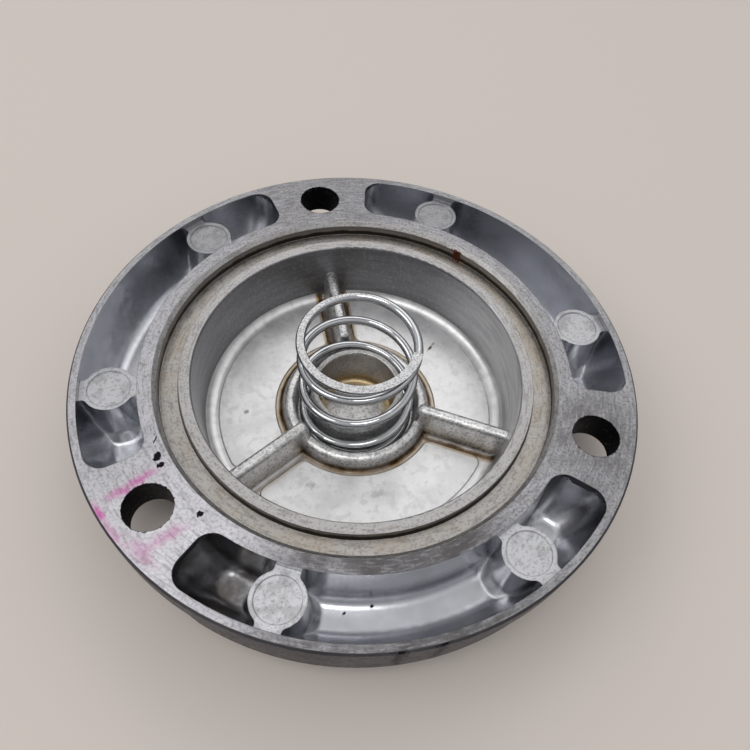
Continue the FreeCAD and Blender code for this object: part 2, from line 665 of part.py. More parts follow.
cover = doc.addObject("PartDesign::Body", "cover")
revolved_casting(cover)
floor_panels(cover)
pocket_shells(cover)
bolt_holes(cover)
join(cover, "with_ribs", "Fuse", ribs)
join(cover, "with_pockets", "Cut", pockets)

spring = doc.addObject("PartDesign::Body", "spring")
wire_spring(spring)

doc.recompute()
check([cover, spring])
os.makedirs("parts", exist_ok=True)
for part in (cover, spring):
    part.Shape.exportStep("parts/%s.step" % part.Label)
    print("%s %.1f mm3" % (part.Label, part.Shape.Volume))
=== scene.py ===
import json
import math

import bpy
from mathutils import Matrix, Vector

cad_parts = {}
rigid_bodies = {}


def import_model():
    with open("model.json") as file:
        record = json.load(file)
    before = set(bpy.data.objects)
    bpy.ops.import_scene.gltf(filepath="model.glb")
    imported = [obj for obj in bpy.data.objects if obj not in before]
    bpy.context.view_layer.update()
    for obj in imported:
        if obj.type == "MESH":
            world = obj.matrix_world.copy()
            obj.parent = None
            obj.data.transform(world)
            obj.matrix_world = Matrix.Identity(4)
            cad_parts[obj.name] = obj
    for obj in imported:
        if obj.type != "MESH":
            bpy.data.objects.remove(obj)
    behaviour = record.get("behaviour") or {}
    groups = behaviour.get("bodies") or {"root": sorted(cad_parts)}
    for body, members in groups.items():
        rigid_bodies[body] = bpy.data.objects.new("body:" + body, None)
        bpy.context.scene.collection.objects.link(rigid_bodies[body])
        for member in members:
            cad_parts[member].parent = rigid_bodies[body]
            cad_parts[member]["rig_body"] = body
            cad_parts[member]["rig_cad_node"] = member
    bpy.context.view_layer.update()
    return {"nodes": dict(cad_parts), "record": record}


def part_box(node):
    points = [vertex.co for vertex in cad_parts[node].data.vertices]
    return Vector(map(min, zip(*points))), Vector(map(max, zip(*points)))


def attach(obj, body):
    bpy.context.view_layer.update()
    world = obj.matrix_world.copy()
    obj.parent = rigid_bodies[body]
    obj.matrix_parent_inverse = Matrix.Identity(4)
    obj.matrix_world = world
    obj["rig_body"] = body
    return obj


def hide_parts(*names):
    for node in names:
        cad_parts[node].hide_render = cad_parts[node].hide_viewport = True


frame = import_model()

bl_info = {
    "name": "Oil Filter Cover",
    "version": (1, 0, 0),
    "blender": (4, 5, 0),
    "location": "View3D > Sidebar > Filter Cover",
    "description": "Finishes for a die-cast oil filter cover with its spring, and a plain studio for it",
    "category": "Object",
}

MM = 0.001
COVER_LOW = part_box("cover")[0]
SPRING_LOW, SPRING_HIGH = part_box("spring")

# The bolt holes, from the record: they stand evenly round the axis, one of them on +Y.
BOLTS = next(mount["dims"] for mount in frame["record"]["mounts"] if mount["name"] == "bolts")
BOLT_HOLE = BOLTS["hole_r_mm"]
BOLT_ANGLES = [90.0 + turn * 360.0 / BOLTS["count"] for turn in range(BOLTS["count"])]
BOLT_PLACES = [(BOLTS["pcd_mm"] / 2 * math.cos(math.radians(angle)),
                BOLTS["pcd_mm"] / 2 * math.sin(math.radians(angle))) for angle in BOLT_ANGLES]
FAR_BOLT = BOLT_PLACES[0]
RIGHT_BOLT = BOLT_PLACES[2]

# Radii that part the casting's finishes, in millimetres from its axis.
BORE = 6.25
TUBE = 8.0
RIB_START = 11.0
BEAD_FOOT = 11.8
RIM_INNER = 24.35
RIM_FOOT = 26.35
LAND_EDGE = 29.6
PILLAR_INSIDE = 31.0
POCKET_WALL_FOOT = 37.6
POCKET_WALL_TOP = 39.4
OUTSIDE = 40.6
# Half the width of a rib at its foot, in millimetres.
RIB_FOOT = 1.9

# Heights that part the finishes, in millimetres above the joint face.
BEVEL_FOOT = -0.6
RIM_TOP = -1.0
PILLAR_TOP = -1.0
PIN_MARK = -1.2
GROOVE_FLOOR = -2.3
TUBE_TOP = -5.9
BORE_ROUND_TOP = -11.2
BOWL_FLOOR = -11.5
BORE_ROUND_FOOT = -12.1
# How far a face may lie off its height, in millimetres.
NEAR_FLAT = 0.03

# Noise keeps mostly between these two values.
NOISE_RANGE = {"From Min": 0.3, "From Max": 0.7}

# Colours of dirt, wear, stains and painted shade that no setting changes.
POCKET_GRIME = "#4b443c"
POCKET_SPECK = "#2b2724"
BORE_BROWN = "#6f665e"
BORE_GOLD = "#b89a5a"
HANDLED_DARK = "#3a393c"
RUBBED_BLACK = "#141416"
FACE_SPECK = "#1d1b22"
HOLE_MOUTH = "#121214"
FLECK_BROWN = "#5c3023"
# Painted shade, near black, at the foot of the seal groove's walls.
GROOVE_FOOT_SHADE = "#37322d"
BARE_IN_HOLE = "#4b4a49"
PLATING_DULL = "#a8aaac"
PLATING_EDGE = "#8a8b8e"
GRIT_DARK = "#7c7c80"

# How strongly oil dried along the two sides of each rib, by the rib's angle.
OIL_BESIDE_RIBS = {90: (0.9, 1.0), 210: (0.6, 0.5), 330: (1.0, 0.6)}

# Marks on the casting: centre in mm, turn in degrees, half length and half width in mm, strength.
POCKET_DIRT = (
    ((-23.0, -28.3), -39, 7.0, 6.5, 0.88),
    ((26.0, -27.0), 45, 4.0, 1.6, 0.5),
)
POCKET_SPECKS = (
    ((-8.0, -33.2), 30, 0.3, 0.2, 1.0),
    ((27.8, -23.8), 30, 0.3, 0.2, 1.0),
    ((-4.3, -33.0), 30, 0.3, 0.2, 1.0),
)
OUTSIDE_RUBS = (
    ((-3.0, -41.0), 0, 1.6, 1.4, 1.0),
    ((2.2, -41.0), 0, 1.3, 1.4, 1.0),
)
GROOVE_FLECK = (
    ((20.85, 20.05), -52, 1.5, 0.38, 1.0),
)
FACE_INK = (
    ((-31.4, -13.6), 27, 2.6, 0.8, 0.75),
    ((-34.2, -15.1), 14, 2.0, 0.7, 0.60),
    ((-36.4, -17.6), -62, 2.2, 0.7, 0.80),
    ((-28.6, -22.0), 24, 3.2, 1.0, 0.45),
    ((-31.6, -23.4), -55, 2.8, 1.0, 0.40),
    ((-34.9, -20.6), -55, 2.4, 0.8, 0.45),
)
FACE_SPECKS = (
    ((-29.1, -10.6), 70, 0.95, 0.60, 1.0),
    ((-28.7, -11.9), 20, 0.80, 0.45, 1.0),
    ((-24.2, -19.7), 15, 0.65, 0.50, 1.0),
    ((-29.3, -8.0), 66, 1.0, 0.12, 1.0),
    ((22.4, -18.4), 15, 0.35, 0.30, 1.0),
)
FLOOR_SPOTS = (
    ((14.8, 9.1), 43, 1.5, 0.30, 0.9),
    ((-17.4, 1.4), 20, 0.6, 0.45, 0.6),
    ((-9.2, -13.1), 0, 1.2, 0.8, 0.35),
    ((0.3, -16.1), 0, 1.4, 1.0, 0.22),
)
# Dull parts of the joint face: centre, radius where it is full and where it has gone in mm, strength.
DULL_FACE = (
    (RIGHT_BOLT, 3.0, 11.0, 0.55),
    (FAR_BOLT, 5.0, 20.0, 0.35),
    ((-2.0, -37.0), 11.0, 22.0, 0.85),
    ((2.0, -31.0), 6.0, 14.0, 0.80),
)

# The studio's lamps, all aimed at the cover: name, place and diameter in metres, watts.
LAMPS = (
    ("ceiling_lamp", (-0.10, -0.16, 0.75), 0.30, 0.9),
    ("left_lamp", (-0.50, 0.05, 0.55), 0.40, 0.7),
    ("right_lamp", (0.36, 0.50, 0.65), 0.50, 0.30),
    ("far_lamp", (-0.10, 0.95, 0.65), 0.40, 0.5),
    ("bowl_lamp", (0.16, 0.46, 0.66), 0.30, 0.18),
)
# The direction in which the room is dimmer, behind the camera.
NEAR_SIDE = (-0.15, -0.72, 0.67)


def linear(colour):
    """An sRGB hex colour as a linear one with alpha."""
    parts = [int(colour[place:place + 2], 16) / 255 for place in (1, 3, 5)]
    return tuple(p / 12.92 if p <= 0.04045 else ((p + 0.055) / 1.055) ** 2.4 for p in parts) + (1.0,)


def per_mm(size):
    """The texture scale that makes a pattern's features about this many millimetres wide."""
    return 1000.0 / size


def feed(tree, node, inputs):
    """Sets a node's inputs by value or link; a node given as a value stands for its first output in use."""
    for name, value in inputs.items():
        if isinstance(value, bpy.types.Node):
            value = next(output for output in value.outputs if output.enabled)
        if isinstance(value, bpy.types.NodeSocket):
            tree.links.new(value, node.inputs[name])
        else:
            node.inputs[name].default_value = value


def add(tree, kind, inputs=None, **settings):
    """Adds a node with its settings, its values and its links."""
    node = tree.nodes.new("ShaderNode" + kind)
    for name, value in settings.items():
        setattr(node, name, value)
    feed(tree, node, inputs or {})
    return node


def start_metal(name):
    """A new metal material; returns it with its tree, shader and object coordinates."""
    material = bpy.data.materials.new(name)
    material.use_nodes = True
    tree = material.node_tree
    tree.nodes.clear()
    shader = add(tree, "BsdfPrincipled", {"Metallic": 1.0})
    add(tree, "OutputMaterial", {"Surface": shader})
    return material, tree, shader, add(tree, "TexCoord").outputs["Object"]


def where(tree, *parts, strength=1.0):
    """A mask: its parts times a strength.

    A part is a mask, or (value, full, none), which is 1 where the value is full and 0 where it is none.
    """
    mask = strength
    for part in parts:
        if isinstance(part, tuple):
            value, full, none = part
            part = add(tree, "MapRange", {"Value": value, "From Min": none, "From Max": full},
                       interpolation_type="SMOOTHSTEP")
        mask = add(tree, "Math", {0: part, 1: mask}, operation="MULTIPLY")
    return mask


def paint(tree, base, over, *parts, strength=1.0):
    """The base colour with another laid over it, where the mask of these parts is."""
    mask = where(tree, *parts, strength=strength)
    return add(tree, "Mix", {"Factor": mask, "A": base, "B": over}, data_type="RGBA")


def from_axis(tree, place, centre=(0.0, 0.0)):
    """Distance in metres from an upright axis through a point given in mm."""
    flat = add(tree, "VectorMath", {0: place, 1: (1, 1, 0)}, operation="MULTIPLY")
    return add(tree, "VectorMath", {0: flat, 1: (centre[0] * MM, centre[1] * MM, 0)}, operation="DISTANCE")


def band(tree, value, middle, half, soft):
    """A mask round one value, that ends softly; middle, half width and soft edge in mm."""
    off = add(tree, "Math", {0: value, 1: middle * MM}, operation="SUBTRACT")
    off = add(tree, "Math", {0: off}, operation="ABSOLUTE")
    return where(tree, (off, half * MM, (half + soft) * MM))


def round_axis(tree, place, stretch):
    """Coordinates drawn out round the axis, so that noise becomes long tool marks; stretch in mm."""
    flat = add(tree, "VectorMath", {0: place, 1: (1, 1, 0)}, operation="MULTIPLY")
    turned = add(tree, "VectorMath", {0: flat}, operation="NORMALIZE")
    turned = add(tree, "VectorMath", {0: turned, "Scale": stretch * MM}, operation="SCALE")
    upright = add(tree, "CombineXYZ", {"Z": from_axis(tree, place)})
    return add(tree, "VectorMath", {0: turned, 1: upright}, operation="ADD")


def marked(tree, place, tone, colour, marks, ragged, jag=1.2, soft=0.35):
    """The tone with ragged oval marks of one colour; jag says how far the noise eats into their edges."""
    # A mark ends where its reach and the noise add up to this.
    outline = 1.6
    for centre, turn, long, wide, strength in marks:
        local = add(tree, "Mapping", {
            "Vector": place,
            "Location": (centre[0] * MM, centre[1] * MM, 0),
            "Rotation": (0, 0, math.radians(turn)),
            "Scale": (long * MM, wide * MM, 1),
        }, vector_type="TEXTURE")
        reach = add(tree, "VectorMath", {0: local}, operation="LENGTH")
        eaten = add(tree, "Math", {0: ragged, 1: outline * jag, 2: reach}, operation="MULTIPLY_ADD")
        tone = paint(tree, tone, colour, (eaten, outline - soft, outline + soft), strength=strength)
    return tone


def surface(tree, shader, tone, grain, rough, relief, depth, edge):
    """Gives the shader its colour, roughness over the grain, relief of a depth in mm and rounded edges."""
    low, high = rough
    gloss = add(tree, "MapRange", {"Value": grain, **NOISE_RANGE, "To Min": low, "To Max": high})
    bump = add(tree, "Bump", {"Height": relief, "Strength": 0.5, "Distance": depth * MM})
    worn = add(tree, "Bevel", {"Radius": edge, "Normal": bump}, samples=4)
    feed(tree, shader, {"Base Color": tone, "Roughness": gloss, "Normal": worn})


def old_oil(tree, place, off, half, soft):
    """Where oil dried in the bowl: bands this far off the feet of the bead and the ribs, all in mm."""
    oil = band(tree, from_axis(tree, place), BEAD_FOOT + off, half, soft)
    for angle, strengths in OIL_BESIDE_RIBS.items():
        along = (math.cos(math.radians(angle)), math.sin(math.radians(angle)), 0)
        across = (-along[1], along[0], 0)
        out = add(tree, "VectorMath", {0: place, 1: along}, operation="DOT_PRODUCT")
        side = add(tree, "VectorMath", {0: place, 1: across}, operation="DOT_PRODUCT")
        begun = (out, (RIB_START + 0.5) * MM, (RIB_START - 0.5) * MM)
        for way, strength in zip((-1, 1), strengths):
            foot = band(tree, side, way * (RIB_FOOT + off), half, soft)
            strip = where(tree, foot, begun, strength=strength)
            oil = add(tree, "Math", {0: oil, 1: strip}, operation="MAXIMUM")
    height = add(tree, "SeparateXYZ", {"Vector": place}).outputs["Z"]
    return where(tree, oil, (height, (BOWL_FLOOR + 0.3) * MM, (BOWL_FLOOR + 1.3) * MM))


def oiled(tree, place, tone, look):
    """The tone with old oil on it: brown where it stood, golden where it thinned out."""
    cloud = add(tree, "TexNoise", {"Vector": place, "Scale": per_mm(3.0), "Detail": 4.0, "Roughness": 0.6})
    patchy = add(tree, "MapRange", {"Value": cloud, **NOISE_RANGE, "To Min": 0.55, "To Max": 1.1})
    golden = old_oil(tree, place, off=0.45, half=0.25, soft=0.55)
    brown = old_oil(tree, place, off=0.05, half=0.25, soft=0.45)
    tone = paint(tree, tone, look.straw_colour, golden, patchy, strength=0.8)
    return paint(tree, tone, look.oil_colour, brown, patchy)


def cast_bowl_wall(look):
    """Aluminium as it left the die: satin, so it blurs what it mirrors, with faint rings from the die."""
    material, tree, shader, place = start_metal("cast_bowl_wall")
    grain = add(tree, "TexNoise", {"Vector": place, "Scale": per_mm(0.5), "Detail": 3.0, "Roughness": 0.6})
    squashed = add(tree, "VectorMath", {0: place, 1: (1, 1, 7)}, operation="MULTIPLY")
    rings = add(tree, "TexNoise", {"Vector": squashed, "Scale": per_mm(7.0), "Detail": 5.0,
                                   "Roughness": 0.6})
    # Paler towards the near right: painted light on the side of the wall that catches more light.
    near_right = add(tree, "VectorMath", {0: place, 1: (0.6, -0.8, 0)}, operation="DOT_PRODUCT")
    tone = paint(tree, look.bowl_colour, look.bowl_painted_light, (near_right, 20.0 * MM, -4.0 * MM))
    tone = paint(tree, tone, look.cast_dark, (rings, 0.36, 0.62), strength=0.35)
    tone = paint(tree, tone, look.cast_light, (grain, 0.66, 0.52), strength=0.25)
    tone = oiled(tree, place, tone, look)
    surface(tree, shader, tone, grain, rough=(0.30, 0.46), relief=grain, depth=0.025, edge=0.2 * MM)
    return material


def cast_pocket(look):
    """The smoothest die-cast skin, in the pockets: it mirrors softly and its rounds show as bright lines."""
    material, tree, shader, place = start_metal("smooth_cast_pocket")
    cloud = add(tree, "TexNoise", {"Vector": place, "Scale": per_mm(7.0), "Detail": 4.0, "Roughness": 0.55})
    grain = add(tree, "TexNoise", {"Vector": place, "Scale": per_mm(0.5), "Detail": 3.0, "Roughness": 0.6})
    blots = add(tree, "TexNoise", {"Vector": place, "Scale": per_mm(2.5), "Detail": 4.0, "Roughness": 0.6})
    radius = from_axis(tree, place)
    tone = paint(tree, look.cast_colour, look.cast_dark, (cloud, 0.36, 0.66), strength=0.20)
    # The sloping outer walls are darker than the floor: painted shade.
    outer_wall = (radius, POCKET_WALL_TOP * MM, POCKET_WALL_FOOT * MM)
    tone = paint(tree, tone, look.pocket_wall_shade, outer_wall, strength=0.60)
    tone = marked(tree, place, tone, linear(POCKET_GRIME), POCKET_DIRT, blots, soft=0.8)
    tone = marked(tree, place, tone, linear(POCKET_SPECK), POCKET_SPECKS, grain, jag=1.0, soft=0.3)
    # Rounder edges deep down than at the milled mouth.
    height = add(tree, "SeparateXYZ", {"Vector": place}).outputs["Z"]
    deep = where(tree, (height, -4.5 * MM, -1.5 * MM), strength=0.5 * MM)
    edge = add(tree, "Math", {0: deep, 1: 0.15 * MM}, operation="ADD")
    surface(tree, shader, tone, grain, rough=(0.20, 0.27), relief=grain, depth=0.012, edge=edge)
    return material


def grainy_core(look):
    """Coarse die-cast skin of ribs, bead and tube: it glitters on top and holds dirt in its pits."""
    material, tree, shader, place = start_metal("grainy_cast_ribs")
    grain = add(tree, "TexNoise", {"Vector": place, "Scale": per_mm(0.38), "Detail": 3.0, "Roughness": 0.55})
    cloud = add(tree, "TexNoise", {"Vector": place, "Scale": per_mm(2.5), "Detail": 4.0, "Roughness": 0.6})
    tone = paint(tree, look.core_colour, look.cast_dark, (grain, 0.38, 0.52), strength=0.50)
    tone = paint(tree, tone, look.cast_dark, (cloud, 0.36, 0.56), strength=0.30)
    # The bore's wall is brown with old oil, its floor golden towards the edge.
    radius = from_axis(tree, place)
    height = add(tree, "SeparateXYZ", {"Vector": place}).outputs["Z"]
    inside = where(tree, (radius, (BORE - 0.1) * MM, (BORE + 0.1) * MM),
                   (height, (TUBE_TOP - 0.6) * MM, TUBE_TOP * MM))
    on_wall = (height, BORE_ROUND_TOP * MM, BORE_ROUND_FOOT * MM)
    on_floor = (height, BORE_ROUND_FOOT * MM, BORE_ROUND_TOP * MM)
    towards_edge = (radius, 5.4 * MM, 3.6 * MM)
    tone = paint(tree, tone, linear(BORE_BROWN), inside, on_wall, strength=0.6)
    tone = paint(tree, tone, linear(BORE_GOLD), inside, on_floor, towards_edge, strength=0.75)
    tone = oiled(tree, place, tone, look)
    surface(tree, shader, tone, grain, rough=(0.28, 0.46), relief=grain, depth=0.14, edge=0.22 * MM)
    return material


def outer_skin(look):
    """The casting's outside: darker and duller than the inside, with rubbed spots."""
    material, tree, shader, place = start_metal("dark_outer_cast_skin")
    cloud = add(tree, "TexNoise", {"Vector": place, "Scale": per_mm(5.0), "Detail": 5.0, "Roughness": 0.6})
    grain = add(tree, "TexNoise", {"Vector": place, "Scale": per_mm(0.6), "Detail": 3.0})
    blots = add(tree, "TexNoise", {"Vector": place, "Scale": per_mm(0.8), "Detail": 4.0, "Roughness": 0.65})
    tone = paint(tree, look.outer_colour, linear(HANDLED_DARK), (cloud, 0.36, 0.68), strength=0.5)
    tone = marked(tree, place, tone, linear(RUBBED_BLACK), OUTSIDE_RUBS, blots, jag=1.4)
    surface(tree, shader, tone, grain, rough=(0.40, 0.58), relief=grain, depth=0.05, edge=0.2 * MM)
    return material


def milled_face(look):
    """Milled joint face: matt with fine tool marks, worn bright at the left and dull with oil elsewhere."""
    material, tree, shader, place = start_metal("milled_joint_face")
    pits = add(tree, "TexNoise", {"Vector": place, "Scale": per_mm(0.40), "Detail": 4.0, "Roughness": 0.65})
    cloud = add(tree, "TexNoise", {"Vector": place, "Scale": per_mm(3.5), "Detail": 6.0, "Roughness": 0.62})
    blots = add(tree, "TexNoise", {"Vector": place, "Scale": per_mm(1.4), "Detail": 4.0, "Roughness": 0.6})
    drawn = round_axis(tree, place, stretch=6.0)
    streak = add(tree, "TexNoise", {"Vector": drawn, "Scale": per_mm(0.35), "Detail": 4.0, "Roughness": 0.6})
    # Worn bright beside the left hand bolt, less and less away from it.
    near = where(tree, (from_axis(tree, place, (-28.0, -23.0)), 3.0 * MM, 17.0 * MM), strength=0.5)
    wide = where(tree, (from_axis(tree, place, (-33.0, -8.0)), 8.0 * MM, 44.0 * MM), strength=0.45)
    both = add(tree, "Math", {0: near, 1: wide}, operation="ADD")
    patchy = add(tree, "MapRange", {"Value": cloud, "From Min": 0.35, "From Max": 0.65,
                                    "To Min": 0.65, "To Max": 1.1})
    worn = where(tree, both, patchy)
    tone = paint(tree, look.face_colour, look.face_light, worn)
    patchy = add(tree, "MapRange", {"Value": cloud, "From Min": 0.38, "From Max": 0.62,
                                    "To Min": 0.45, "To Max": 1.2})
    for centre, full, none, strength in DULL_FACE:
        off = from_axis(tree, place, centre)
        tone = paint(tree, tone, look.face_dark, (off, full * MM, none * MM), patchy, strength=strength)
    tone = paint(tree, tone, look.face_light, (streak, 0.66, 0.50), strength=0.22)
    tone = paint(tree, tone, look.face_dark, (streak, 0.36, 0.50), strength=0.35)
    # Fewer dark pits where the face is worn bright.
    pitted = add(tree, "MapRange", {"Value": worn, "From Max": 0.7, "To Min": 0.60, "To Max": 0.30})
    tone = paint(tree, tone, look.face_dark, (pits, 0.37, 0.53), pitted)
    # Chipped, dark mouths of the bolt holes.
    for centre in BOLT_PLACES:
        off = from_axis(tree, place, centre)
        chipped = add(tree, "Math", {0: pits, 1: 0.8 * MM, 2: off}, operation="MULTIPLY_ADD")
        mouth = (chipped, (BOLT_HOLE + 0.36) * MM, (BOLT_HOLE + 0.52) * MM)
        tone = paint(tree, tone, linear(HOLE_MOUTH), mouth)
    tone = marked(tree, place, tone, look.ink_colour, FACE_INK, blots, soft=0.8)
    tone = marked(tree, place, tone, linear(FACE_SPECK), FACE_SPECKS, pits, jag=1.0, soft=0.15)
    relief = add(tree, "Math", {0: streak, 1: 0.8, 2: pits}, operation="MULTIPLY_ADD")
    surface(tree, shader, tone, pits, rough=(0.34, 0.52), relief=relief, depth=0.05, edge=0.2 * MM)
    return material


def brown_fleck(tree, place, tone, grain):
    """The tone with the brown fleck that sticks in the seal groove at the far right."""
    return marked(tree, place, tone, linear(FLECK_BROWN), GROOVE_FLECK, grain, jag=1.3, soft=0.15)


def turned_ring(look, name, colour, thin_oil, depth):
    """Turned metal: fine tool rings and grain that catch the light, straw-coloured where thin oil dried."""
    material, tree, shader, place = start_metal(name)
    pits = add(tree, "TexNoise", {"Vector": place, "Scale": per_mm(0.35), "Detail": 3.0, "Roughness": 0.6})
    cloud = add(tree, "TexNoise", {"Vector": place, "Scale": per_mm(5.0), "Detail": 5.0, "Roughness": 0.6})
    drawn = round_axis(tree, place, stretch=5.0)
    rings = add(tree, "TexNoise", {"Vector": drawn, "Scale": per_mm(0.4), "Detail": 3.0, "Roughness": 0.6})
    tone = paint(tree, colour, look.face_dark, (pits, 0.38, 0.50), strength=0.40)
    tone = paint(tree, tone, look.face_dark, (rings, 0.36, 0.50), strength=0.35)
    tone = paint(tree, tone, look.straw_colour, (cloud, 0.66, 0.42), strength=thin_oil)
    tone = brown_fleck(tree, place, tone, pits)
    relief = add(tree, "Math", {0: rings, 1: 0.8, 2: pits}, operation="MULTIPLY_ADD")
    surface(tree, shader, tone, pits, rough=(0.32, 0.50), relief=relief, depth=depth, edge=0.18 * MM)
    return material


def shaded_groove_wall(look):
    """Walls of the seal groove: painted shade over turned metal, light at the top and near black at their
    foot.
    """
    material, tree, shader, place = start_metal("shaded_groove_wall")
    cloud = add(tree, "TexNoise", {"Vector": place, "Scale": per_mm(2.0), "Detail": 4.0, "Roughness": 0.6})
    grain = add(tree, "TexNoise", {"Vector": place, "Scale": per_mm(0.4), "Detail": 3.0})
    height = add(tree, "SeparateXYZ", {"Vector": place}).outputs["Z"]
    ragged = add(tree, "Math", {0: cloud, 1: 0.8 * MM, 2: height}, operation="MULTIPLY_ADD")
    # The walls darken towards their foot: painted shade.
    above_shade = (ragged, -0.9 * MM, -1.3 * MM)
    tone = paint(tree, linear(GROOVE_FOOT_SHADE), look.groove_colour, above_shade, strength=0.7)
    tone = brown_fleck(tree, place, tone, grain)
    surface(tree, shader, tone, grain, rough=(0.4, 0.6), relief=grain, depth=0.05, edge=0.12 * MM)
    return material


def bowl_floor(look):
    """The bowl's floor: bright and satin, faintly hammered by the die, with scuffs and oil spots."""
    material, tree, shader, place = start_metal("bright_bowl_floor")
    cloud = add(tree, "TexNoise", {"Vector": place, "Scale": per_mm(6.0), "Detail": 6.0, "Roughness": 0.6})
    dents = add(tree, "TexNoise", {"Vector": place, "Scale": per_mm(1.4), "Detail": 3.0, "Roughness": 0.55})
    blots = add(tree, "TexNoise", {"Vector": place, "Scale": per_mm(0.8), "Detail": 4.0})
    tone = paint(tree, look.floor_colour, look.floor_shade, (cloud, 0.38, 0.64), strength=0.6)
    tone = paint(tree, tone, look.floor_shade, (dents, 0.36, 0.5), strength=0.5)
    tone = oiled(tree, place, tone, look)
    tone = marked(tree, place, tone, look.oil_colour, FLOOR_SPOTS, blots)
    surface(tree, shader, tone, cloud, rough=(0.34, 0.46), relief=dents, depth=0.07, edge=0.15 * MM)
    return material


def pillar_face(look):
    """Ejector-pin marks on the pillars: matt pale discs with fine pits, and duller on the far side."""
    material, tree, shader, place = start_metal("pin_marked_pillar")
    pits = add(tree, "TexNoise", {"Vector": place, "Scale": per_mm(0.35), "Detail": 3.0})
    cloud = add(tree, "TexNoise", {"Vector": place, "Scale": per_mm(2.2), "Detail": 5.0, "Roughness": 0.6})
    farther = add(tree, "SeparateXYZ", {"Vector": place}).outputs["Y"]
    tone = paint(tree, look.pillar_colour, look.face_dark, (farther, 30.0 * MM, -10.0 * MM), strength=0.5)
    tone = paint(tree, tone, look.face_dark, (cloud, 0.38, 0.52), strength=0.30)
    tone = paint(tree, tone, look.face_dark, (pits, 0.36, 0.48), strength=0.35)
    surface(tree, shader, tone, pits, rough=(0.38, 0.55), relief=pits, depth=0.05, edge=0.25 * MM)
    return material


def drilled_bore(look):
    """Drilled bolt holes: oxidised almost black, with rough walls."""
    material, tree, shader, place = start_metal("oxidised_bolt_bore")
    pits = add(tree, "TexNoise", {"Vector": place, "Scale": per_mm(0.7), "Detail": 4.0})
    tone = paint(tree, look.bore_colour, linear(BARE_IN_HOLE), (pits, 0.68, 0.60))
    surface(tree, shader, tone, pits, rough=(0.5, 0.7), relief=pits, depth=0.15, edge=0.1 * MM)
    return material


def zinc_wire(look):
    """Zinc-plated spring wire: mirrors sharply, darker towards its edges, with a few dull places."""
    material, tree, shader, place = start_metal("zinc_plated_wire")
    cloud = add(tree, "TexNoise", {"Vector": place, "Scale": per_mm(1.5), "Detail": 3.0})
    gloss = add(tree, "MapRange", {"Value": cloud, "To Min": 0.04, "To Max": 0.11})
    tone = paint(tree, look.wire_colour, linear(PLATING_DULL), (cloud, 0.60, 0.75), strength=0.6)
    feed(tree, shader, {"Base Color": tone, "Roughness": gloss, "Specular Tint": linear(PLATING_EDGE)})
    return material


def ground_end(look):
    """Ground end of the spring: flat and bright, glittering with fine grit marks."""
    material, tree, shader, place = start_metal("ground_wire_end")
    grit = add(tree, "TexNoise", {"Vector": place, "Scale": per_mm(0.30), "Detail": 3.0, "Roughness": 0.6})
    tone = paint(tree, look.ground_colour, linear(GRIT_DARK), (grit, 0.42, 0.54), strength=0.55)
    surface(tree, shader, tone, grit, rough=(0.20, 0.38), relief=grit, depth=0.16, edge=0.1 * MM)
    return material


def copy_of(node, name):
    """A welded, smooth-shaded copy of a CAD node that shows in its place."""
    source = frame["nodes"][node]
    bpy.ops.object.select_all(action="DESELECT")
    source.select_set(True)
    bpy.context.view_layer.objects.active = source
    bpy.ops.object.duplicate()
    piece = bpy.context.view_layer.objects.active
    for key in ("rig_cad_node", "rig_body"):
        if key in piece:
            del piece[key]
    piece.parent = None
    piece.name = name
    piece.data.name = name
    piece.data.materials.clear()
    bpy.ops.object.mode_set(mode="EDIT")
    bpy.ops.mesh.select_all(action="SELECT")
    bpy.ops.mesh.remove_doubles(threshold=0.002 * MM, use_sharp_edge_from_normals=True)
    bpy.ops.object.mode_set(mode="OBJECT")
    bpy.ops.mesh.customdata_custom_splitnormals_clear()
    # Large flat faces keep their own direction, so the small rounds beside them don't shade them.
    bpy.ops.object.modifier_add(type="WEIGHTED_NORMAL")
    piece.modifiers[-1].keep_sharp = True
    piece.modifiers[-1].weight = 90
    bpy.ops.object.modifier_apply(modifier=piece.modifiers[-1].name)
    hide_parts(node)
    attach(piece, "root")
    return piece


def beside_rib(x, y):
    """How far a point in mm lies to the side of the nearest rib's middle line."""
    turns = [math.radians(angle) for angle in BOLT_ANGLES]
    return min((abs(x * math.sin(turn) - y * math.cos(turn)) for turn in turns
                if x * math.cos(turn) + y * math.sin(turn) > 0), default=0.0)


